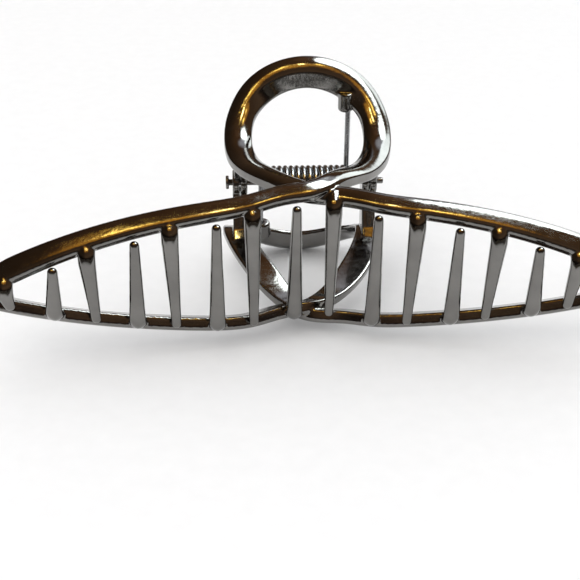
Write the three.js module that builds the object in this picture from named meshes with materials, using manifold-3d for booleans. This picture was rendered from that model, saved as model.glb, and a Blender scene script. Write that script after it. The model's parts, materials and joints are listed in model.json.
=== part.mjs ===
// A large metal claw hair clip, in millimetres: two identical cast jaws that turn on a headed pin and
// are held shut by a torsion spring. It lies on its rear jaw, as on a table: X runs along the clip,
// the finger loops point to +Y, and the front jaw is on top.
//
// The jaws are drawn in the clip's own axes: x along the pin, y from the front jaw to the rear jaw and
// z from the teeth to the finger loops, with the pin's axis through the origin. Every jaw size below
// is the front jaw's. The rear jaw is the same casting, turned half a turn about z.
import * as THREE from "three";
import { mergeVertices } from "three/addons/utils/BufferGeometryUtils.js";
import Module from "manifold-3d";

const wasm = await Module();
wasm.setup();

// Rails: the two long arms of a jaw, each running from a tip to the crossing in the middle.
const RAIL_END = 56.6; // x of a rail's end
const RAIL_UNIT = 50; // the rail formulas use x / RAIL_UNIT
const RAIL_STATIONS = 10;
const CROSSING_RISE = 3.8; // how much higher the two rails cross than their curves would meet
const CROSSING_REACH = 9;
const CROSSING_LIFT = 0.75; // one ribbon passes this far outside the mid surface, the other inside
const CROSSING_FADE_Z = [-20, -12]; // and comes back to it between these heights
const RAIL_WIDTH = 2.7;
const RAIL_SPREAD = 1.35; // a rail widens by this much on its way to its end
const RAIL_THICK = 2.5;
const RAIL_DOME = { height: 0.34, power: 6 }; // the face falls this far at its edges, ever more steeply
const RAIL_TIP_WIDTH = 2.8;
const RAIL_TIP_TAPER = 6; // length over which a rail narrows to its tip
const RAIL_TIP_ROUND = 0.55; // size of the rounded end face, as a share of the section

// Finger loop: the two ribbons cross, spread into the loop's arms and meet at its top.
const LOOP_WIDTH = 5.0;
const LOOP_TOP_WIDTH = 5.9; // the ribbon widens into a thumb rest at the top
const LOOP_DOME = { height: 0.95, power: 2.3 };
const LOOP_TOP_DOME = { height: 1.05, power: 2.2 };
const LOOP_THICK = 2.6;
const LOOP_LEAN = 0.4; // the loop's top stands this far to the right of the crossing
const LOOP_LEAN_Z = [-16, 6]; // the lean grows between these heights
const LOOP_SWELL_Z = [-27, -13]; // the rail's section turns into the loop's between these
const THUMB_REST_Z = [2, 7]; // and the loop's widens to its top's between these
const LOOP_LOW_Z = -20; // the ribbon is loop above this height, and rail or crossing below it
const LOOP = [
  // x, y, z of the ribbon's middle, then the tilt of its face in degrees
  { at: [4.1, -12.8, -20.2], tilt: 0 },
  { at: [9.2, -10.9, -13.4], tilt: -14 },
  { at: [12.1, -9.8, -7.0], tilt: -8 },
  { at: [13.0, -10.5, -2.3], tilt: 5 },
  { at: [12.4, -13.3, 2.2], tilt: 22 },
  { at: [8.4, -17.2, 6.2], tilt: 46 },
  { at: [0, -19.7, 7.3], tilt: 58 },
];
const STEPS_PER_STATION = 3;

// Teeth, spaced evenly along the rails. Each leaves the rail along its face, turns at a round knuckle
// and runs inwards.
const TOOTH_PITCH = 13.88;
const TOOTH_FIRST = 3.17; // x of the tooth next to the middle
const TEETH_LEFT = 4;
const TEETH_RIGHT = 3;
const TOOTH_ROOT_WIDTH = 2.9;
const TOOTH_TIP_WIDTH = 1.7;
const TOOTH_ROOT_THICK = 2.2;
const TOOTH_TIP_THICK = 1.4;
const KNUCKLE_RADIUS = 1.8;
const TOOTH_UNDER = 2.5; // a tooth runs this far under the middles of both rails
const TIP_SHORT = 1.05; // and stops this far short of the middle of the other rail
const TIP_LEAN = 0.985; // tips stand slightly nearer the middle than their roots

// Ears on the pin. The left ear lies inside the other jaw's left ear, the right ear outside its right.
const PIN_RADIUS = 0.6;
const PIN_CLEARANCE = 0.05;
const EAR_RADIUS = 2.4;
const EAR_THICK = 1.35;
const EAR_INNER_X = 11.05;
const EAR_OUTER_X = 12.55;
const STRUT_THICK = 2.6;
const STRUT_INNER_X = 11.05;
const EAR_SWEEP_CLEARANCE = 0.35;
const EAR_ROOT_LOW = { y: -9.9, z: -9.2 }; // where the ear's edges meet the loop arm's back
const EAR_ROOT_HIGH = { y: -10.3, z: -1.4 };
const EAR_WAIST = { y: -7.2, z: -5.4 };

// Hinge pin.
const HEAD_RADIUS = 1.3;
const HEAD_THICK = 0.6;
const PIN_LEFT = -14.6;
const PIN_RIGHT = 15.3;

// Torsion spring: a close coil with a leg at each end, plugged into a boss on each jaw.
const WIRE_RADIUS = 0.5;
const COIL_RADIUS = 2.7;
const COIL_TURNS = 15;
const COIL_END_X = 8.3;
const LEG_END = { y: 14.9, z: 5.1 };
const BOSS_RADIUS = 1.5;
const BOSS_X = 7.8;
const BOSS_TOP = { y: -12.6, z: 4.72 };
const BOSS_ROOT = { y: -16.3, z: 5.35 };
const SOCKET_RADIUS = 0.82;

const LIE_ANGLE = THREE.MathUtils.degToRad(-80.5); // turns the clip onto its rear jaw
const ROUND = 24;

const polished = { color: 0xb9bbc0, roughness: 0.12, metalness: 1 };
const steel = { color: 0xc4c7cc, roughness: 0.2, metalness: 1 };

function toSolid(geometry) {
  const plain = geometry.clone();
  plain.deleteAttribute("normal");
  plain.deleteAttribute("uv");
  const merged = mergeVertices(plain, 1e-4);
  return new wasm.Manifold(
    new wasm.Mesh({
      numProp: 3,
      vertProperties: new Float32Array(merged.attributes.position.array),
      triVerts: new Uint32Array(merged.index.array),
    }),
  );
}

function toGeometry(solid) {
  const mesh = solid.getMesh();
  const geometry = new THREE.BufferGeometry();
  geometry.setAttribute("position", new THREE.BufferAttribute(mesh.vertProperties, 3));
  geometry.setIndex(new THREE.BufferAttribute(mesh.triVerts, 1));
  return geometry;
}

// How far a domed face lies below its middle at this point of the section. The back stays flat.
function fall(dome, position, i) {
  return dome && position.getY(i) > 0 ? dome.height * Math.abs(position.getX(i)) ** dome.power : 0;
}

// A straight bar of the given section, bent along place(u), which returns the frame and size at u,
// from 0 to 1: a point, an outward direction, the direction of travel, the width, the thickness and
// the dome of its face.
function bentBar(section, steps, place) {
  const bar = new THREE.ExtrudeGeometry(section, { depth: 1, steps, bevelEnabled: false });
  const position = bar.attributes.position;
  const frames = Array.from({ length: steps + 1 }, (_, i) => place(i / steps));
  const point = new THREE.Vector3();
  for (let i = 0; i < position.count; i++) {
    const frame = frames[Math.round(position.getZ(i) * steps)];
    const across = new THREE.Vector3().crossVectors(frame.out, frame.along);
    point
      .copy(frame.at)
      .addScaledVector(across, (position.getX(i) * frame.width) / 2)
      .addScaledVector(frame.out, position.getY(i) * frame.thick - fall(frame.dome, position, i));
    position.setXYZ(i, point.x, point.y, point.z);
  }
  return toSolid(bar);
}

// Sections are drawn from -1 to 1 across and from -0.5, the back, to 0.5, the outside.
function ribbonSection() {
  const shape = new THREE.Shape();
  shape.moveTo(-1, -0.42);
  shape.lineTo(-0.9, -0.5);
  shape.lineTo(0.9, -0.5);
  shape.lineTo(1, -0.42);
  for (const across of [1, 0.88, 0.6, 0.25, -0.25, -0.6, -0.88, -1]) shape.lineTo(across, 0.5);
  return shape;
}

function toothSection() {
  const shape = new THREE.Shape();
  shape.moveTo(-1, -0.35);
  shape.lineTo(-0.7, -0.5);
  shape.lineTo(0.7, -0.5);
  shape.lineTo(1, -0.35);
  shape.lineTo(1, 0.1);
  shape.lineTo(0.5, 0.5);
  shape.lineTo(-0.5, 0.5);
  shape.lineTo(-1, 0.1);
  return shape;
}

// Distance of the rail's middle in front of the pin, and below it, at x.
function railDepth(x) {
  const t = x / RAIL_UNIT;
  return 13.1 - 7.1 * t ** 2 - 1.55 * t ** 4;
}

function railDrop(x) {
  const t = x / RAIL_UNIT;
  return 27.2 + 5.5 * t ** 2 - 0.75 * t ** 4 - CROSSING_RISE * Math.exp(-((x / CROSSING_REACH) ** 2));
}

function railTilt(x) {
  const t = Math.abs(x) / RAIL_END;
  return 30 + 6 * t ** 2 - 14 * t ** 8;
}

const between = (value, [from, to]) => THREE.MathUtils.smoothstep(value, from, to);

// The stations of one ribbon, from the left rail's end over the crossing to the top of the loop, and
// one more beyond it, which only gives the curve its direction there.
function ribbonStations() {
  const stations = [];
  for (let i = 0; i <= RAIL_STATIONS; i++) {
    const x = -RAIL_END * (1 - i / RAIL_STATIONS);
    stations.push({ at: [x, -railDepth(x), -railDrop(x)], tilt: railTilt(x) });
  }
  stations.push(...LOOP);
  const [x, y, z] = LOOP[LOOP.length - 2].at;
  stations.push({ at: [-x, y, z], tilt: LOOP[LOOP.length - 2].tilt });
  return stations;
}

function mixDomes(first, second, share) {
  return {
    height: THREE.MathUtils.lerp(first.height, second.height, share),
    power: THREE.MathUtils.lerp(first.power, second.power, share),
  };
}

// One ribbon. side is 1 for the ribbon that starts at the left tip and -1 for its mirror image.
function ribbon(side, lift) {
  const stations = ribbonStations();
  const path = new THREE.CatmullRomCurve3(
    stations.map(({ at }) => new THREE.Vector3(side * at[0], at[1], at[2])),
  );
  const tilts = new THREE.CatmullRomCurve3(stations.map(({ tilt }, i) => new THREE.Vector3(i, tilt, 0)));
  const share = (stations.length - 2) / (stations.length - 1);
  const steps = (stations.length - 2) * STEPS_PER_STATION;
  return bentBar(ribbonSection(), steps, (u) => {
    const at = path.getPoint(u * share);
    const along = u === 1 ? new THREE.Vector3(-side, 0, 0) : path.getTangent(u * share);
    const tilt = THREE.MathUtils.degToRad(tilts.getPoint(u * share).y);
    const out = new THREE.Vector3(0, -Math.cos(tilt), -Math.sin(tilt));
    out.addScaledVector(along, -out.dot(along)).normalize();
    const crossing = Math.exp(-((at.x / CROSSING_REACH) ** 2)) * (1 - between(at.z, CROSSING_FADE_Z));
    at.addScaledVector(out, lift * crossing);
    const fromTip = RAIL_END - Math.abs(at.x);
    const full = at.z > LOOP_LOW_Z ? 1 : between(fromTip, [0, RAIL_TIP_TAPER]);
    const round = u === 0 ? RAIL_TIP_ROUND : 1;
    const loopShare = between(at.z, LOOP_SWELL_Z);
    const restShare = between(at.z, THUMB_REST_Z);
    const railWidth = RAIL_WIDTH + (RAIL_SPREAD * Math.abs(at.x)) / RAIL_END;
    const loopWidth = THREE.MathUtils.lerp(LOOP_WIDTH, LOOP_TOP_WIDTH, restShare);
    const width = THREE.MathUtils.lerp(railWidth, loopWidth, loopShare);
    at.x += LOOP_LEAN * between(at.z, LOOP_LEAN_Z);
    return {
      at,
      along,
      out,
      width: THREE.MathUtils.lerp(RAIL_TIP_WIDTH, width, full) * round,
      thick: THREE.MathUtils.lerp(RAIL_THICK, LOOP_THICK, loopShare) * round,
      dome: mixDomes(RAIL_DOME, mixDomes(LOOP_DOME, LOOP_TOP_DOME, restShare), loopShare),
    };
  });
}

function tooth(x) {
  const tilt = THREE.MathUtils.degToRad(railTilt(x));
  const root = new THREE.Vector3(x, -railDepth(x), -railDrop(x));
  const down = new THREE.Vector3(0, Math.sin(tilt), -Math.cos(tilt));
  const straight = (TOOTH_UNDER - KNUCKLE_RADIUS * (1 - Math.sin(tilt))) / Math.cos(tilt);
  const centre = root
    .clone()
    .addScaledVector(down, straight)
    .add(new THREE.Vector3(0, Math.cos(tilt), Math.sin(tilt)).multiplyScalar(KNUCKLE_RADIUS));
  const onKnuckle = (angle) =>
    new THREE.Vector3(0, -Math.cos(angle), -Math.sin(angle)).multiplyScalar(KNUCKLE_RADIUS).add(centre);
  const corner = onKnuckle(Math.PI / 2);
  const tip = new THREE.Vector3(x * TIP_LEAN, railDepth(x) - TIP_SHORT, corner.z);
  const path = new THREE.CatmullRomCurve3([
    root,
    onKnuckle(tilt),
    onKnuckle((tilt + Math.PI / 2) / 2),
    corner,
    corner.clone().lerp(tip, 0.33),
    corner.clone().lerp(tip, 0.66),
    corner.clone().lerp(tip, 0.95),
    tip,
  ]);
  return bentBar(toothSection(), 14, (u) => {
    const along = path.getTangent(u);
    const taper = Math.max(0, (u - 0.4) / 0.6);
    const round = u === 1 ? 0.5 : 1;
    return {
      at: path.getPoint(u),
      along,
      out: new THREE.Vector3(-1, 0, 0).cross(along).negate(),
      width: THREE.MathUtils.lerp(TOOTH_ROOT_WIDTH, TOOTH_TIP_WIDTH, taper) * round,
      thick: THREE.MathUtils.lerp(TOOTH_ROOT_THICK, TOOTH_TIP_THICK, taper) * round,
    };
  });
}

// A plate across the pin, drawn in y and z and standing from x = start to start + thick.
function plate(shape, start, thick) {
  const geometry = new THREE.ExtrudeGeometry(shape, { depth: thick, bevelEnabled: false, curveSegments: ROUND });
  geometry.rotateX(Math.PI / 2);
  geometry.rotateZ(Math.PI / 2);
  return toSolid(geometry.translate(start, 0, 0));
}

function cylinderAlongX(radius, start, end) {
  const geometry = new THREE.CylinderGeometry(radius, radius, end - start, ROUND);
  return toSolid(geometry.rotateZ(Math.PI / 2).translate((start + end) / 2, 0, 0));
}

// From the back of a loop arm to the round end about the pin.
function earOutline() {
  const shape = new THREE.Shape();
  shape.moveTo(EAR_ROOT_LOW.y, EAR_ROOT_LOW.z);
  shape.lineTo(EAR_WAIST.y, EAR_WAIST.z);
  shape.lineTo(-EAR_RADIUS * 0.5, -EAR_RADIUS * Math.sin(Math.PI / 3));
  shape.absarc(0, 0, EAR_RADIUS, -Math.PI * (2 / 3), Math.PI * 0.62, false);
  shape.lineTo(EAR_ROOT_HIGH.y, EAR_ROOT_HIGH.z);
  return shape;
}

function ear(side) {
  const plateStart = side < 0 ? -EAR_INNER_X - EAR_THICK : EAR_OUTER_X;
  const strutStart = side < 0 ? -STRUT_INNER_X - STRUT_THICK : STRUT_INNER_X;
  const swept = cylinderAlongX(EAR_RADIUS + EAR_SWEEP_CLEARANCE, strutStart - 1, strutStart + STRUT_THICK + 1);
  const strut = plate(earOutline(), strutStart, STRUT_THICK).subtract(swept);
  return plate(earOutline(), plateStart, EAR_THICK).add(strut);
}

function boss() {
  const root = new THREE.Vector3(BOSS_X, BOSS_ROOT.y, BOSS_ROOT.z);
  const top = new THREE.Vector3(BOSS_X, BOSS_TOP.y, BOSS_TOP.z);
  return toSolid(rod(root, top, BOSS_RADIUS, 16));
}

function rod(from, to, radius, sides) {
  const along = new THREE.Vector3().subVectors(to, from);
  const geometry = new THREE.CylinderGeometry(radius, radius, along.length(), sides);
  const turn = new THREE.Quaternion().setFromUnitVectors(new THREE.Vector3(0, 1, 0), along.clone().normalize());
  const middle = new THREE.Vector3().addVectors(from, to).multiplyScalar(0.5);
  return geometry.applyQuaternion(turn).translate(middle.x, middle.y, middle.z);
}

// The front leg's straight line: it leaves the coil at the top, square to the coil's radius.
function legLine() {
  const reach = Math.hypot(LEG_END.y, LEG_END.z);
  const angle = Math.atan2(LEG_END.z, -LEG_END.y) - Math.acos(COIL_RADIUS / reach);
  const leave = new THREE.Vector3(COIL_END_X, COIL_RADIUS * Math.cos(angle), COIL_RADIUS * Math.sin(angle));
  return { angle, leave, end: new THREE.Vector3(COIL_END_X, -LEG_END.y, LEG_END.z) };
}

function jawGeometry() {
  let solid = ribbon(1, CROSSING_LIFT).add(ribbon(-1, -CROSSING_LIFT));
  for (let i = -TEETH_LEFT; i <= TEETH_RIGHT; i++) {
    solid = solid.add(tooth(TOOTH_FIRST + i * TOOTH_PITCH));
  }
  solid = solid.add(ear(-1)).add(ear(1)).add(boss());
  const { leave, end } = legLine();
  const beyond = new THREE.Vector3().subVectors(end, leave).setLength(0.4).add(end);
  solid = solid.subtract(toSolid(rod(leave, beyond, SOCKET_RADIUS, 16)));
  return toGeometry(solid.subtract(cylinderAlongX(PIN_RADIUS + PIN_CLEARANCE, -20, 20)));
}

function pinGeometry() {
  const profile = [
    [0, PIN_LEFT - HEAD_THICK],
    [HEAD_RADIUS * 0.8, PIN_LEFT - HEAD_THICK],
    [HEAD_RADIUS, PIN_LEFT - HEAD_THICK * 0.6],
    [HEAD_RADIUS, PIN_LEFT],
    [PIN_RADIUS, PIN_LEFT],
    [PIN_RADIUS, PIN_RIGHT - 0.25],
    [PIN_RADIUS * 0.6, PIN_RIGHT],
    [0, PIN_RIGHT],
  ].map(([radius, x]) => new THREE.Vector2(radius, x));
  return toGeometry(toSolid(new THREE.LatheGeometry(profile, ROUND).rotateZ(-Math.PI / 2)));
}

// The spring's wire as one curve: rear leg, coil, front leg.
class SpringCurve extends THREE.Curve {
  constructor() {
    super();
    const { angle, leave, end } = legLine();
    this.first = Math.PI - angle;
    this.turn = 2 * Math.PI * COIL_TURNS + angle - this.first;
    this.leave = leave;
    this.leg = new THREE.Vector3().subVectors(end, leave);
    this.coilLength = Math.hypot(this.turn * COIL_RADIUS, 2 * COIL_END_X);
    this.total = this.coilLength + 2 * this.leg.length();
  }

  getPoint(u, target = new THREE.Vector3()) {
    const leg = this.leg.length();
    const run = u * this.total - leg;
    if (run < 0) {
      const share = -run / leg;
      return target.set(-this.leave.x, -this.leave.y - this.leg.y * share, this.leave.z + this.leg.z * share);
    }
    if (run > this.coilLength) {
      return target.copy(this.leave).addScaledVector(this.leg, (run - this.coilLength) / leg);
    }
    const share = run / this.coilLength;
    const angle = this.first + this.turn * share;
    const x = THREE.MathUtils.lerp(-COIL_END_X, COIL_END_X, share);
    return target.set(x, COIL_RADIUS * Math.cos(angle), COIL_RADIUS * Math.sin(angle));
  }
}

function springGeometry() {
  const section = new THREE.Shape();
  section.absarc(0, 0, WIRE_RADIUS, 0, 2 * Math.PI, false);
  return new THREE.ExtrudeGeometry(section, {
    extrudePath: new SpringCurve(),
    steps: 230,
    curveSegments: 3,
    bevelEnabled: false,
  });
}

function part(name, geometry, look) {
  const mesh = new THREE.Mesh(geometry, new THREE.MeshStandardMaterial(look));
  mesh.name = name;
  return mesh;
}

const casting = jawGeometry();
const rearJaw = part("rear_jaw", casting, polished);
rearJaw.rotation.z = Math.PI;

const lying = new THREE.Group();
lying.rotation.x = LIE_ANGLE;
lying.add(part("front_jaw", casting, polished));
lying.add(rearJaw);
lying.add(part("hinge_pin", pinGeometry(), steel));
lying.add(part("torsion_spring", springGeometry(), steel));

const clip = new THREE.Group();
clip.add(lying);
const box = new THREE.Box3().setFromObject(clip, true);
lying.position.set(-(box.min.x + box.max.x) / 2, -(box.min.y + box.max.y) / 2, -box.min.z);

export default clip;
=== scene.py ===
"""A polished metal claw hair clip: the fine jaws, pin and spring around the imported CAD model.

The jaws are drawn in the clip's own axes, in millimetres: x along the pin, y from the front jaw to the
rear jaw, z from the teeth to the finger loops, with the pin's axis through the origin. to_row() turns
them as the clip lies and puts the pin where the record says. Every size is the front jaw's, and the rear
jaw is the same casting turned half a turn about z.
"""
import json
import math

import bmesh
import bpy
import numpy as np
from mathutils import Matrix, Vector

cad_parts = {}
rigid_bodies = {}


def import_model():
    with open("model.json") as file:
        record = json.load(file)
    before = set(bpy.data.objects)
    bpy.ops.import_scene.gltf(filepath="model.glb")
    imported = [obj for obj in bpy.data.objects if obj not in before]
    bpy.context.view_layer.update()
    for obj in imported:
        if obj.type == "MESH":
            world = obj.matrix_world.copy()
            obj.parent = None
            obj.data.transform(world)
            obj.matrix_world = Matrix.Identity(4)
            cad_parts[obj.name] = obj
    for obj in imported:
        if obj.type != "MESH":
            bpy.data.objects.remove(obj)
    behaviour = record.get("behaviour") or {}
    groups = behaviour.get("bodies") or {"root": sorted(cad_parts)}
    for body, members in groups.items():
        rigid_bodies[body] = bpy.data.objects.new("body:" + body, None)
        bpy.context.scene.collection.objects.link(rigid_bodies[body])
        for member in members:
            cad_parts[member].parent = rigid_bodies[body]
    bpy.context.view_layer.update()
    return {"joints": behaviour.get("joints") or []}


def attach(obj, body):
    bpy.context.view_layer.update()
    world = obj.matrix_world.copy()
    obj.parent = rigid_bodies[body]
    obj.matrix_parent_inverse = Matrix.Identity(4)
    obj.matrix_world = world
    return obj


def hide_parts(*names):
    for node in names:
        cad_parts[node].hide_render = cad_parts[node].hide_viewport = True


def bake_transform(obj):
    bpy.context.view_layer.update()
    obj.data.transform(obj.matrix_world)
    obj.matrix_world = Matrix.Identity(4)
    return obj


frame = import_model()

MM = 0.001
LIE_ANGLE = math.radians(-80.5)
PIN_AT = Vector(frame["joints"][0]["pos_m"])

# Rails.
RAIL_END = 56.6
RAIL_UNIT = 50.0
RAIL_STATIONS = 10
CROSSING_RISE = 3.8
CROSSING_REACH = 9.0
CROSSING_LIFT = 0.75
CROSSING_FADE_Z = (-20.0, -12.0)
RAIL_WIDTH = 2.7
RAIL_SPREAD = 1.35  # a rail widens by this much towards its tip
RAIL_THICK = 2.5
RAIL_TIP_WIDTH = 2.8
RAIL_TIP_TAPER = 6.0
RAIL_DOME = (0.38, 4.2)  # how high the face is domed, and how square its shoulders are
RAIL_TIP_ROUND = 1.3

# Finger loop: x, y, z of the ribbon's middle and the tilt of its face in degrees.
LOOP_WIDTH = 5.0
LOOP_TOP_WIDTH = 5.75
LOOP_DOME = (0.95, 2.3)
LOOP_TOP_DOME = (1.05, 2.2)
INNER_BEVEL = 1.6  # how far the thumb rest's inner side falls away, as a flat slope
INNER_BEVEL_START = 0.08
LOOP_THICK = 2.6
LOOP_LEAN = 0.4
LOOP_LEAN_Z = (-16.0, 6.0)
LOOP_SWELL_Z = (-27.0, -13.0)
THUMB_REST_Z = (2.0, 7.0)
LOOP_LOW_Z = -20.0
LOOP = (
    (4.1, -12.8, -20.2, 0),
    (9.2, -10.9, -13.4, -14),
    (12.1, -9.8, -7.0, -8),
    (13.0, -10.5, -2.3, 5),
    (12.4, -13.3, 2.2, 22),
    (8.4, -17.2, 6.2, 46),
    (0.0, -19.7, 7.3, 58),
)
RIBBON_STEP = 0.25

# Teeth.
TOOTH_PITCH = 13.88
TOOTH_FIRST = 3.17
TEETH = range(-4, 4)
TOOTH_ROOT_WIDTH = 2.9
TOOTH_TIP_WIDTH = 1.6
TOOTH_ROOT_THICK = 2.15
TOOTH_TIP_THICK = 1.4
KNUCKLE_RADIUS = 1.8
TOOTH_UNDER = 2.5
KNUCKLE_SINK = 0.22  # how far the tooth's flat face lies under the knuckle's ridge, as a share
KNUCKLE_RUN = (-2.2, 0.5)  # and where it comes up to it, in mm past the tooth's corner
KNUCKLE_END = (0.2, 1.0)
KNUCKLE_ROUND = 0.34
TIP_SHORT = 1.05
TIP_LEAN = 0.985

# Ears, pin and spring.
PIN_RADIUS = 0.6
PIN_CLEARANCE = 0.05
EAR_RADIUS = 2.4
EAR_THICK = 1.35
EAR_INNER_X = 11.05
EAR_OUTER_X = 12.55
STRUT_THICK = 2.6
STRUT_INNER_X = 11.05
EAR_SWEEP_CLEARANCE = 0.35
EAR_SWEEP_RADIUS = EAR_RADIUS + EAR_SWEEP_CLEARANCE
EAR_ROOT_LOW = (-9.9, -9.2)
EAR_ROOT_HIGH = (-10.3, -1.4)
EAR_WAIST = (-7.2, -5.4)
HEAD_RADIUS = 1.3
HEAD_THICK = 0.6
PIN_LEFT = -14.6
PIN_RIGHT = 15.3
HEAD_EDGE = 0.16  # radius of the head's edges
HEAD_FILLET = 0.12
PIN_END_ROUND = 0.25
PIN_AROUND = 48
WIRE_RADIUS = 0.5
WIRE_AROUND = 18
COIL_RADIUS = 2.7
COIL_TURNS = 15
COIL_END_X = 8.3
LEG_END = (14.9, 5.1)
BOSS_RADIUS = 1.45
BOSS_ROUND = 0.7
BOSS_X = 7.8
BOSS_TOP = (-12.65, 4.73)
BOSS_ROOT = (-16.3, 5.35)
SOCKET_RADIUS = 0.62
SOCKET_PAST = 0.4  # the socket runs this far past the end of its leg

# The casting's skin.
VOXEL = 0.2
SOFTEN_STEPS = 3

# Camera: its place in mm and its turns about x, y and z in degrees, both in the row frame.
CAMERA_PLACE = (-14.48, -193.8, 109.3)
CAMERA_TURNS = (61.246, -0.479, -3.061)
CAMERA_LENS = 71.4
SENSOR_WIDTH = 36.0

# Light patches that only the metal's reflections see. Azimuth 0 is the front and 90 the right.
# azimuth, elevation, half angle, softness (degrees), colour
PATCHES = (
    (-3, 64, 1.8, 2.0, (22.0, 17.0, 6.0)),
    (-3, 58, 4.0, 10.0, (1.3, 0.58, 0.04)),
    (-34, 60, 2.2, 2.0, (8.0, 5.6, 1.2)),
    (-32, 55, 3.0, 9.0, (1.1, 0.46, 0.04)),
    (32, 60, 2.2, 2.0, (8.0, 5.6, 1.2)),
    (32, 55, 3.0, 9.0, (1.1, 0.46, 0.04)),
    (104, 60, 13.0, 4.0, (7.0, 7.7, 7.8)),
    (86, 66, 11.0, 3.0, (7.0, 7.7, 7.8)),
    (132, 34, 15.0, 6.0, (3.6, 4.0, 4.1)),
    (150, 56, 6.0, 14.0, (0.8, 0.9, 1.05)),
)
# The room's own colour by height, from the horizon to the zenith: sine of the elevation, colour.
ROOM = (
    (0.0, (0.012, 0.01, 0.008)),
    (0.12, (0.05, 0.03, 0.02)),
    (0.28, (0.21, 0.125, 0.07)),
    (0.6, (0.15, 0.085, 0.045)),
    (0.93, (0.18, 0.09, 0.035)),
    (0.975, (0.17, 0.08, 0.03)),
    (1.0, (0.28, 0.14, 0.065)),
)
REFLECTED_SHADE_Y = (-0.04, -0.095)  # painted shade: in reflections only, the table turns dark between these y, in metres
# the painted shade's colour, which only the metal's reflections see on the table
REFLECTED_SHADE_COLOUR = (0.03, 0.025, 0.02, 1)
DARK_SIDE_X = (-0.8, 0.1)  # between these parts of a direction's x, the room darkens to the left
DARK_SIDE_SHARE = 0.3  # to this share of its colour
TABLE_HALF = 3.0


# ---------------------------------------------------------------- mesh helpers


def to_row(points):
    """Points in the clip's axes, in mm, to the row frame, in metres."""
    turn = np.array(Matrix.Rotation(LIE_ANGLE, 3, "X"))
    return np.asarray(points) @ turn.T * MM + np.array(PIN_AT)


def make_object(name, points, faces):
    mesh = bpy.data.meshes.new(name)
    mesh.from_pydata([tuple(p) for p in points], [], [tuple(f) for f in faces])
    mesh.update()
    obj = bpy.data.objects.new(name, mesh)
    bpy.context.scene.collection.objects.link(obj)
    return obj


def rings_to_solid(rings):
    """(points, faces) of a closed tube through rings of the same number of points, with flat ends."""
    count, around = len(rings), len(rings[0])
    points = np.concatenate(rings)
    faces = []
    for i in range(count - 1):
        for j in range(around):
            k = (j + 1) % around
            faces.append((i * around + j, i * around + k, (i + 1) * around + k, (i + 1) * around + j))
    faces.append(tuple(range(around))[::-1])
    faces.append(tuple((count - 1) * around + j for j in range(around)))
    return points, faces


def smoothstep(value, low, high):
    t = np.clip((np.asarray(value, float) - low) / (high - low), 0, 1)
    return t * t * (3 - 2 * t)


def mix(a, b, share):
    return a + (b - a) * share


def unit(rows):
    return rows / np.linalg.norm(rows, axis=-1, keepdims=True)


def spline(rows, step):
    """A natural cubic spline through the rows, whose first three columns are a place, at about this step."""
    rows = np.asarray(rows, float)
    gaps = np.linalg.norm(np.diff(rows[:, :3], axis=0), axis=1) ** 0.75
    knots = np.concatenate([[0], np.cumsum(gaps)])
    n = len(rows)
    system, right = np.eye(n), np.zeros_like(rows)
    for i in range(1, n - 1):
        before, after = knots[i] - knots[i - 1], knots[i + 1] - knots[i]
        system[i, i - 1 : i + 2] = before, 2 * (before + after), after
        right[i] = 6 * ((rows[i + 1] - rows[i]) / after - (rows[i] - rows[i - 1]) / before)
    bend = np.linalg.solve(system, right)
    fine = []
    for i in range(n - 1):
        h = knots[i + 1] - knots[i]
        length = np.linalg.norm(rows[i + 1, :3] - rows[i, :3])
        t = np.linspace(0, 1, max(2, round(length / step)), endpoint=False)[:, None]
        start = mix(rows[i], rows[i + 1], t)
        pull = ((1 - t) ** 3 - (1 - t)) * bend[i] + (t**3 - t) * bend[i + 1]
        fine.append(start + pull * h * h / 6)
    return np.concatenate([*fine, rows[-1:]])


def swept(at, along, out, outlines):
    """A bar along the points at, from one outline of (across, height) points in mm for each of them."""
    across = unit(np.cross(out, along))
    return rings_to_solid([
        place + np.outer(outline[:, 0], side) + np.outer(outline[:, 1], face)
        for place, side, face, outline in zip(at, across, out, outlines)
    ])


# ---------------------------------------------------------------- the casting


def rail_depth(x):
    t = x / RAIL_UNIT
    return 13.1 - 7.1 * t**2 - 1.55 * t**4


def rail_drop(x):
    t = x / RAIL_UNIT
    return 27.2 + 5.5 * t**2 - 0.75 * t**4 - CROSSING_RISE * math.exp(-((x / CROSSING_REACH) ** 2))


def rail_tilt(x):
    t = abs(x) / RAIL_END
    return 30 + 6 * t**2 - 14 * t**8


def ribbon_outline(half_width, thick, dome, power, rest):
    """The ribbon's section: a flat back, side walls with a little draft and a domed face.

    rest is 1 on the thumb rest, where the inner side of the face is a flat slope instead of a dome.
    """
    a = np.sin(np.linspace(-math.pi / 2, math.pi / 2, 41))
    slope = INNER_BEVEL * np.clip((a - INNER_BEVEL_START) / (1 - INNER_BEVEL_START), 0, 1)
    fall = dome * np.abs(a) ** power
    face = thick / 2 - np.where(a > 0, mix(fall, slope, rest), fall)
    back = -thick / 2
    draft = 1 + 0.1 / half_width
    right = [(draft, mix(face[-1], back, share)) for share in (0.15, 0.5, 0.85)]
    left = [(-draft, mix(back, face[0], share)) for share in (0.15, 0.5, 0.85)]
    flat = [(0.95, back), (0.5, back), (0, back), (-0.5, back), (-0.95, back)]
    outline = np.array([*zip(a, face), *right, *flat, *left])
    outline[:, 0] *= half_width
    return outline


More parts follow.
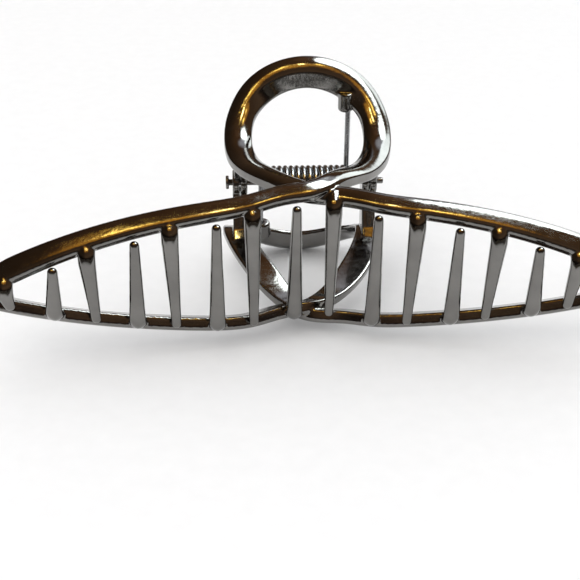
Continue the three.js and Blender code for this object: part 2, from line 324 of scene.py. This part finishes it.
def ribbon():
    """One strip: from the left tip over the crossing, round the loop, and back over it to the right tip."""
    half = []
    for i in range(RAIL_STATIONS + 1):
        x = -RAIL_END * (1 - i / RAIL_STATIONS)
        half.append((x, -rail_depth(x), -rail_drop(x), rail_tilt(x), 1.0))
    half += [(*station, 1.0) for station in LOOP[:-1]]
    other = [(-x, y, z, tilt, -1.0) for x, y, z, tilt, _ in reversed(half)]
    rows = spline([*half, (*LOOP[-1], 0.0), *other], RIBBON_STEP)
    at, tilt, side = rows[:, :3].copy(), np.radians(rows[:, 3]), np.sign(rows[:, 4])
    along = unit(np.gradient(at, axis=0))
    out = np.stack([np.zeros(len(at)), -np.cos(tilt), -np.sin(tilt)], axis=1)
    out = unit(out - along * np.sum(out * along, axis=1)[:, None])
    x, z = np.abs(at[:, 0]), at[:, 2].copy()
    lift = side * CROSSING_LIFT * np.exp(-((x / CROSSING_REACH) ** 2)) * (1 - smoothstep(z, *CROSSING_FADE_Z))
    at += out * lift[:, None]
    at[:, 0] += LOOP_LEAN * smoothstep(z, *LOOP_LEAN_Z)

    loop, rest = smoothstep(z, *LOOP_SWELL_Z), smoothstep(z, *THUMB_REST_Z)
    tip = np.where(z > LOOP_LOW_Z, 0, 1 - smoothstep(RAIL_END - x, 0, RAIL_TIP_TAPER))
    width = mix(RAIL_WIDTH + RAIL_SPREAD * x / RAIL_END, mix(LOOP_WIDTH, LOOP_TOP_WIDTH, rest), loop)
    width = mix(width, RAIL_TIP_WIDTH, tip)
    dome = mix(RAIL_DOME[0], mix(LOOP_DOME[0], LOOP_TOP_DOME[0], rest), loop)
    power = mix(RAIL_DOME[1], mix(LOOP_DOME[1], LOOP_TOP_DOME[1], rest), loop)
    thick = mix(RAIL_THICK, LOOP_THICK, loop)
    left = np.clip((RAIL_END - x) / RAIL_TIP_ROUND, 0, 1)
    nose = np.where(z > LOOP_LOW_Z, 1, np.sqrt(np.clip(1 - (1 - left) ** 2, 0.04, 1)))
    outlines = [
        ribbon_outline(width[i] / 2, thick[i], dome[i], power[i], rest[i]) * nose[i]
        for i in range(len(at))
    ]
    return swept(at, along, out, outlines)


def tooth_path(x):
    """(points, run, corner_run) of a tooth's middle line: down the rail's face, round the knuckle, in."""
    tilt = math.radians(rail_tilt(x))
    root = np.array([x, -rail_depth(x), -rail_drop(x)])
    down = np.array([0, math.sin(tilt), -math.cos(tilt)])
    straight = (TOOTH_UNDER - KNUCKLE_RADIUS * (1 - math.sin(tilt))) / math.cos(tilt)
    centre = root + down * straight + np.array([0, math.cos(tilt), math.sin(tilt)]) * KNUCKLE_RADIUS
    points = [root + down * run for run in np.arange(0, straight, 0.15)]
    for angle in np.linspace(tilt, math.pi / 2, 14, endpoint=False):
        points.append(centre - np.array([0, math.cos(angle), math.sin(angle)]) * KNUCKLE_RADIUS)
    corner_index = len(points)
    corner = centre - np.array([0, 0, KNUCKLE_RADIUS])
    tip = np.array([x * TIP_LEAN, rail_depth(x) - TIP_SHORT, corner[2]])
    for share in np.linspace(0, 1, max(8, int(np.linalg.norm(tip - corner) / 0.2))):
        points.append(mix(corner, tip, share))
    points = np.array(points)
    run = np.concatenate([[0], np.cumsum(np.linalg.norm(np.diff(points, axis=0), axis=1))])
    return points, run, run[corner_index]


def tooth_outline(beyond):
    """A tooth's section this far past its corner, in mm: a flat face with wide bevels, or a round ridge.

    The ridge of the knuckle runs out in a point on the tooth's face.
    """
    a = np.sin(np.linspace(-math.pi / 2, math.pi / 2, 25))
    sunk = KNUCKLE_SINK * (1 - smoothstep(beyond, *KNUCKLE_RUN))
    flat = 0.5 - 0.03 * a**2 - 0.27 * np.clip((np.abs(a) - 0.5) / 0.5, 0, 1) ** 1.4 - sunk
    ridge = 0.5 - KNUCKLE_ROUND * np.abs(a) ** 1.8 - 0.2 * smoothstep(beyond, *KNUCKLE_END)
    back_round = (0.98, 0.8, 0.45, 0, -0.45, -0.8, -0.98)
    back = [(x, -0.5 + 0.35 * abs(x) ** 3) for x in back_round]
    return np.array([*zip(a, np.maximum(flat, ridge)), (1, 0.05), (1, -0.1), *back, (-1, -0.1), (-1, 0.05)])


def tooth(x):
    at, run, corner = tooth_path(x)
    along = unit(np.gradient(at, axis=0))
    out = unit(np.cross(along, np.array([-1.0, 0, 0])))
    taper = np.clip((run - corner) / (run[-1] - corner), 0, 1)
    left = np.clip((run[-1] - run) / 0.8, 0, 1)
    nose = np.sqrt(np.clip(1 - (1 - left) ** 2, 0.03, 1))
    outlines = np.array([tooth_outline(r - corner) for r in run])
    width = mix(TOOTH_ROOT_WIDTH, TOOTH_TIP_WIDTH, taper)
    thick = mix(TOOTH_ROOT_THICK, TOOTH_TIP_THICK, taper)
    sizes = np.stack([width / 2 * nose, thick * nose], axis=1)
    return swept(at, along, -out, outlines * sizes[:, None, :])


def arc(radius, start, end, count):
    return [(radius * math.cos(t), radius * math.sin(t)) for t in np.linspace(start, end, count)]


def plate(outline, start, thick):
    """A plate across the pin: an outline in y and z, from x = start."""
    rings = [[(start + thick * share, y, z) for y, z in outline] for share in (0, 1)]
    return rings_to_solid([np.array(r) for r in rings])


def ear(side):
    """The round ear on the pin, and the thicker strut that joins it to the loop's arm."""
    low, high = -math.pi * 2 / 3, math.pi * 0.62
    waist = (-EAR_RADIUS * 0.5, -EAR_RADIUS * math.sin(math.pi / 3))
    round_ear = [EAR_ROOT_LOW, EAR_WAIST, waist, *arc(EAR_RADIUS, low, high, 40), EAR_ROOT_HIGH]
    hollow = arc(EAR_SWEEP_RADIUS, -math.pi * 0.74, -math.pi * 1.26, 16)
    strut = [EAR_ROOT_LOW, EAR_WAIST, *hollow, EAR_ROOT_HIGH]
    ear_x = -EAR_INNER_X - EAR_THICK if side < 0 else EAR_OUTER_X
    strut_x = -STRUT_INNER_X - STRUT_THICK if side < 0 else STRUT_INNER_X
    return plate(round_ear, ear_x, EAR_THICK), plate(strut, strut_x, STRUT_THICK)


def rod(start, end, radius, around=32, rounded=0.0):
    """A round bar between two points; rounded is the radius of its far edge."""
    start, end = np.array(start, float), np.array(end, float)
    along = unit(end - start)
    side = unit(np.cross(along, (1.0, 0, 0) if abs(along[0]) < 0.9 else (0, 1.0, 0)))
    other = np.cross(along, side)
    turn = np.linspace(0, 2 * math.pi, around, endpoint=False)
    ring = np.outer(np.cos(turn), side) + np.outer(np.sin(turn), other)
    stops = [(0.0, radius)]
    length = np.linalg.norm(end - start)
    for angle in np.linspace(0, math.pi / 2, 7):
        stops.append((length - rounded * (1 - math.sin(angle)), radius - rounded * (1 - math.cos(angle))))
    return rings_to_solid([start + along * run + ring * size for run, size in stops])


def leg_line():
    """The angle at which the front leg leaves the coil, the point there, and the leg's end."""
    y, z = LEG_END
    angle = math.atan2(z, -y) - math.acos(COIL_RADIUS / math.hypot(y, z))
    leave = np.array([COIL_END_X, COIL_RADIUS * math.cos(angle), COIL_RADIUS * math.sin(angle)])
    return angle, leave, np.array([COIL_END_X, -y, z])


def casting_mesh():
    """One jaw as a single smooth skin, in the clip's axes, in mm."""
    solids = [ribbon(), *[tooth(TOOTH_FIRST + i * TOOTH_PITCH) for i in TEETH], *ear(-1), *ear(1)]
    solids.append(rod((BOSS_X, *BOSS_ROOT), (BOSS_X, *BOSS_TOP), BOSS_RADIUS, rounded=BOSS_ROUND))
    points, faces, base = [], [], 0
    for some_points, some_faces in solids:
        points.append(some_points)
        faces += [tuple(i + base for i in face) for face in some_faces]
        base += len(some_points)
    rough = make_object("casting", np.concatenate(points), faces)
    skin = rough.modifiers.new("skin", "REMESH")
    skin.mode = "VOXEL"
    skin.voxel_size = VOXEL
    soften = rough.modifiers.new("soften", "SMOOTH")
    soften.factor = 0.5
    soften.iterations = SOFTEN_STEPS
    _, leave, end = leg_line()
    beyond = end + unit(end - leave) * SOCKET_PAST
    bore = ((-20, 0, 0), (20, 0, 0), PIN_RADIUS + PIN_CLEARANCE)
    for start, stop, radius in (bore, (leave, beyond, SOCKET_RADIUS)):
        cutter = make_object("cutter", *rod(start, stop, radius))
        cut = rough.modifiers.new("cut", "BOOLEAN")
        cut.operation = "DIFFERENCE"
        cut.solver = "EXACT"
        cut.object = cutter
    depsgraph = bpy.context.evaluated_depsgraph_get()
    mesh = bpy.data.meshes.new_from_object(rough.evaluated_get(depsgraph))
    for obj in [o for o in bpy.data.objects if o.name.startswith(("casting", "cutter"))]:
        bpy.data.objects.remove(obj)
    return mesh


def jaw(name, mesh, half_turn, body, material):
    """A jaw piece from the casting's mesh, turned as the clip lies."""
    mesh = mesh.copy()
    turn = Matrix.Rotation(LIE_ANGLE, 4, "X")
    if half_turn:
        turn = turn @ Matrix.Rotation(math.pi, 4, "Z")
    mesh.transform(Matrix.Translation(PIN_AT) @ turn @ Matrix.Scale(MM, 4))
    mesh.name = name
    mesh.shade_smooth()
    obj = bpy.data.objects.new(name, mesh)
    bpy.context.scene.collection.objects.link(obj)
    mesh.materials.clear()
    mesh.materials.append(material)
    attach(obj, body)
    return obj


# ---------------------------------------------------------------- pin and spring


def pin_piece(material):
    """The pin: a lathed shaft with a flat head on the left and a rounded right end."""
    head_left = PIN_LEFT - HEAD_THICK
    profile = [(0.0, head_left)]
    for angle in np.linspace(math.pi / 2, 0, 6):
        radius = HEAD_RADIUS - HEAD_EDGE * (1 - math.cos(angle))
        profile.append((radius, head_left + HEAD_EDGE * (1 - math.sin(angle))))
    for angle in np.linspace(0, math.pi / 2, 6):
        radius = HEAD_RADIUS - HEAD_EDGE * (1 - math.cos(angle))
        profile.append((radius, PIN_LEFT - HEAD_EDGE * (1 - math.sin(angle))))
    profile += [(PIN_RADIUS + HEAD_FILLET, PIN_LEFT), (PIN_RADIUS, PIN_LEFT + HEAD_FILLET)]
    profile += [(PIN_RADIUS, x) for x in np.linspace(PIN_LEFT + 1, PIN_RIGHT - 1, 12)]
    for angle in np.linspace(0, math.pi / 2, 7):
        radius = PIN_RADIUS - PIN_END_ROUND * (1 - math.cos(angle))
        profile.append((radius, PIN_RIGHT - PIN_END_ROUND * (1 - math.sin(angle))))
    turn = np.linspace(0, 2 * math.pi, PIN_AROUND, endpoint=False)
    rings = [
        np.stack([np.full(PIN_AROUND, x), max(r, 0.02) * np.cos(turn), max(r, 0.02) * np.sin(turn)], axis=1)
        for r, x in profile
    ]
    points, faces = rings_to_solid(rings)
    obj = make_object("pin", to_row(points), faces)
    finish_mesh(obj, material)
    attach(obj, "rear")
    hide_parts("hinge_pin")


def finish_mesh(obj, material):
    """Faces pointing out, smooth shading and the material."""
    made = bmesh.new()
    made.from_mesh(obj.data)
    bmesh.ops.recalc_face_normals(made, faces=made.faces)
    made.to_mesh(obj.data)
    made.free()
    obj.data.shade_smooth()
    obj.data.materials.append(material)


def spring_path():
    """The wire's middle line: rear leg, coil, front leg, with the sharp turns between them eased."""
    angle, leave, end = leg_line()
    first = math.pi - angle
    turn = 2 * math.pi * COIL_TURNS + angle - first
    share = np.linspace(0, 1, COIL_TURNS * 64)
    theta = first + turn * share
    x = mix(-COIL_END_X, COIL_END_X, share)
    coil = np.stack([x, COIL_RADIUS * np.cos(theta), COIL_RADIUS * np.sin(theta)], axis=1)
    leg_steps = np.linspace(0, 1, 56)[1:, None]
    front = leave + (end - leave) * leg_steps
    rear = (front * np.array([-1, -1, 1]))[::-1]
    path = np.concatenate([rear, coil, front])
    for _ in range(12):
        path[1:-1] = (path[:-2] + 2 * path[1:-1] + path[2:]) / 4
    return path


def spring_piece(material):
    path = spring_path()
    along = unit(np.gradient(path, axis=0))
    from_axis = unit(path * np.array([0.0, 1, 1]))
    side = unit(np.cross(along, from_axis))
    other = np.cross(side, along)
    turn = np.linspace(0, 2 * math.pi, WIRE_AROUND, endpoint=False)
    size = np.full(len(path), WIRE_RADIUS)
    size[[0, -1]] = WIRE_RADIUS * 0.8
    rings = [
        path[i] + size[i] * (np.outer(np.cos(turn), side[i]) + np.outer(np.sin(turn), other[i]))
        for i in range(len(path))
    ]
    points, faces = rings_to_solid(rings)
    obj = make_object("spring", to_row(points), faces)
    finish_mesh(obj, material)
    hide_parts("torsion_spring")
    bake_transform(obj)


# ---------------------------------------------------------------- materials


def node(tree, kind, **values):
    """A shader node; values name its inputs with spaces as _, or its own settings."""
    made = tree.nodes.new(kind)
    for key, value in values.items():
        name = key.replace("_", " ")
        if name in made.inputs:
            made.inputs[name].default_value = value
        else:
            setattr(made, key, value)
    return made


def ramp(tree, source, stops):
    made = tree.nodes.new("ShaderNodeValToRGB")
    elements = made.color_ramp.elements
    while len(elements) < len(stops):
        elements.new(0.5)
    for element, (place, value) in zip(elements, stops):
        element.position = place
        element.color = (value, value, value, 1) if np.isscalar(value) else (*value, 1)
    tree.links.new(source, made.inputs["Fac"])
    return made.outputs["Color"]


def mix_node(tree, blend, factor, first, second):
    """A colour mix node; each of factor, first and second is a socket or a plain value."""
    made = node(tree, "ShaderNodeMix", data_type="RGBA", blend_type=blend)
    for socket, value in ((0, factor), (6, first), (7, second)):
        if isinstance(value, bpy.types.NodeSocket):
            tree.links.new(value, made.inputs[socket])
        else:
            made.inputs[socket].default_value = value
    return made.outputs[2]


def map_range(tree, source, low, high, smallest=0.0):
    made = node(tree, "ShaderNodeMapRange", interpolation_type="SMOOTHSTEP")
    for name, value in (("From Min", low), ("From Max", high), ("To Min", smallest), ("To Max", 1.0)):
        made.inputs[name].default_value = value
    tree.links.new(source, made.inputs["Value"])
    return made.outputs["Result"]


def metal(name, dark, light, roughness, worn, ripple, scratch_scale):
    """Polished metal: clouded colour, uneven polish, hair-thin scratches, soft ripples and small pits."""
    material = bpy.data.materials.new(name)
    material.use_nodes = True
    tree = material.node_tree
    link = tree.links.new
    shader = tree.nodes["Principled BSDF"]
    shader.inputs["Metallic"].default_value = 1.0
    place = node(tree, "ShaderNodeTexCoord").outputs["Object"]

    clouds = node(tree, "ShaderNodeTexNoise", Scale=160.0, Detail=5.0, Roughness=0.55)
    link(place, clouds.inputs["Vector"])
    link(ramp(tree, clouds.outputs["Fac"], [(0.35, dark), (0.65, light)]), shader.inputs["Base Color"])

    stretched = node(tree, "ShaderNodeMapping", Scale=(scratch_scale * 0.08, scratch_scale, scratch_scale))
    link(place, stretched.inputs["Vector"])
    scratches = node(tree, "ShaderNodeTexNoise", Scale=1.0, Detail=3.0, Roughness=0.7)
    link(stretched.outputs["Vector"], scratches.inputs["Vector"])
    polish = node(tree, "ShaderNodeTexNoise", Scale=420.0, Detail=6.0, Roughness=0.6)
    link(place, polish.inputs["Vector"])
    both = node(tree, "ShaderNodeMath", operation="MULTIPLY")
    link(scratches.outputs["Fac"], both.inputs[0])
    link(polish.outputs["Fac"], both.inputs[1])
    link(ramp(tree, both.outputs["Value"], [(0.15, roughness), (0.42, worn)]), shader.inputs["Roughness"])

    waves = node(tree, "ShaderNodeTexNoise", Scale=900.0, Detail=3.0, Roughness=0.55)
    link(place, waves.inputs["Vector"])
    soft = node(tree, "ShaderNodeBump", Strength=ripple, Distance=0.0001)
    link(waves.outputs["Fac"], soft.inputs["Height"])
    fine = node(tree, "ShaderNodeBump", Strength=ripple, Distance=0.000012)
    link(scratches.outputs["Fac"], fine.inputs["Height"])
    link(soft.outputs["Normal"], fine.inputs["Normal"])
    link(fine.outputs["Normal"], shader.inputs["Normal"])
    return material


def floor_material():
    """A plain pale table with painted shade towards the front, which turns it dark in the metal's reflections
    only.
    """
    material = bpy.data.materials.new("pale_table")
    material.use_nodes = True
    tree = material.node_tree
    shader = tree.nodes["Principled BSDF"]
    shader.inputs["Roughness"].default_value = 0.7
    place = node(tree, "ShaderNodeTexCoord").outputs["Object"]
    grain = node(tree, "ShaderNodeTexNoise", Scale=300.0, Detail=4.0)
    tree.links.new(place, grain.inputs["Vector"])
    colour = ramp(tree, grain.outputs["Fac"], [(0.3, (0.86, 0.86, 0.86)), (0.7, (0.88, 0.88, 0.88))])
    split = node(tree, "ShaderNodeSeparateXYZ")
    tree.links.new(place, split.inputs["Vector"])
    paths = node(tree, "ShaderNodeLightPath")
    # Painted shade: glossy rays see the table dark towards the front, so the metal reflects shade there.
    front = node(tree, "ShaderNodeMath", operation="MULTIPLY")
    tree.links.new(map_range(tree, split.outputs["Y"], *REFLECTED_SHADE_Y), front.inputs[0])
    tree.links.new(paths.outputs["Is Glossy Ray"], front.inputs[1])
    shaded = mix_node(tree, "MIX", front.outputs["Value"], colour, REFLECTED_SHADE_COLOUR)
    tree.links.new(shaded, shader.inputs["Base Color"])
    return material


# ---------------------------------------------------------------- camera, room and lights


def camera():
    """Above and in front of the clip, looking down at its crossing."""
    data = bpy.data.cameras.new("camera")
    data.sensor_width = SENSOR_WIDTH
    data.lens = CAMERA_LENS
    data.clip_start = 0.01
    obj = bpy.data.objects.new("camera", data)
    bpy.context.scene.collection.objects.link(obj)
    obj.location = Vector(CAMERA_PLACE) * MM
    obj.rotation_euler = [math.radians(turn) for turn in CAMERA_TURNS]
    bpy.context.scene.camera = obj


def direction(azimuth, elevation):
    a, e = math.radians(azimuth), math.radians(elevation)
    return Vector((math.sin(a) * math.cos(e), -math.cos(a) * math.cos(e), math.sin(e)))


def room():
    """A dark warm room with a lamp and a window in reflections, and even pale light for all the rest."""
    world = bpy.data.worlds.new("room")
    bpy.context.scene.world = world
    world.use_nodes = True
    tree = world.node_tree
    tree.nodes.clear()
    link = tree.links.new
    way = node(tree, "ShaderNodeTexCoord").outputs["Generated"]
    split = node(tree, "ShaderNodeSeparateXYZ")
    link(way, split.inputs["Vector"])
    shade = map_range(tree, split.outputs["X"], *DARK_SIDE_X, smallest=DARK_SIDE_SHARE)
    total = mix_node(tree, "MULTIPLY", 1.0, ramp(tree, split.outputs["Z"], ROOM), shade)
    for azimuth, elevation, half_angle, softness, colour in PATCHES:
        near = node(tree, "ShaderNodeVectorMath", operation="DOT_PRODUCT")
        near.inputs[1].default_value = direction(azimuth, elevation)
        link(way, near.inputs[0])
        outer, inner = (math.cos(math.radians(half_angle + more)) for more in (softness, 0))
        edge = map_range(tree, near.outputs["Value"], outer, inner)
        total = mix_node(tree, "ADD", edge, total, (*colour, 1))
    reflected = node(tree, "ShaderNodeBackground")
    link(total, reflected.inputs["Color"])
    even = node(tree, "ShaderNodeBackground", Color=(0.97, 0.97, 0.98, 1), Strength=1.0)
    paths = node(tree, "ShaderNodeLightPath")
    choose = node(tree, "ShaderNodeMixShader")
    link(paths.outputs["Is Glossy Ray"], choose.inputs[0])
    link(even.outputs[0], choose.inputs[1])
    link(reflected.outputs[0], choose.inputs[2])
    output = node(tree, "ShaderNodeOutputWorld")
    link(choose.outputs[0], output.inputs["Surface"])


def soft_light(name, place, size, watts, colour):
    data = bpy.data.lights.new(name, "AREA")
    data.size = size
    data.energy = watts
    data.color = colour
    obj = bpy.data.objects.new(name, data)
    bpy.context.scene.collection.objects.link(obj)
    obj.location = place
    obj.rotation_mode = "QUATERNION"
    obj.rotation_quaternion = (Vector((0, 0, 0)) - Vector(place)).to_track_quat("-Z", "Y")
    obj.visible_glossy = False


def table_top():
    corners = ((-1, -1), (1, -1), (1, 1), (-1, 1))
    obj = make_object("table", [(x * TABLE_HALF, y * TABLE_HALF, 0) for x, y in corners], [(0, 1, 2, 3)])
    obj.data.materials.append(floor_material())


# ---------------------------------------------------------------- the scene

plating = metal("plated_casting", (0.185, 0.18, 0.172), (0.225, 0.22, 0.21), 0.08, 0.18, 0.22, 900.0)
steel = metal("pin_steel", (0.20, 0.195, 0.19), (0.27, 0.265, 0.26), 0.16, 0.3, 0.2, 2400.0)
wire = metal("spring_wire", (0.25, 0.253, 0.258), (0.33, 0.334, 0.34), 0.2, 0.34, 0.15, 2400.0)

casting = casting_mesh()
front = jaw("front_casting", casting, False, "front", plating)
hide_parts("front_jaw")
rear = jaw("rear_casting", casting, True, "rear", plating)
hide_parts("rear_jaw")
pin_piece(steel)
spring_piece(wire)

camera()
room()
table_top()
soft_light("key", (-0.5, -0.6, 1.2), 1.0, 6.0, (1.0, 0.98, 0.95))
bpy.context.scene.view_settings.view_transform = "Standard"
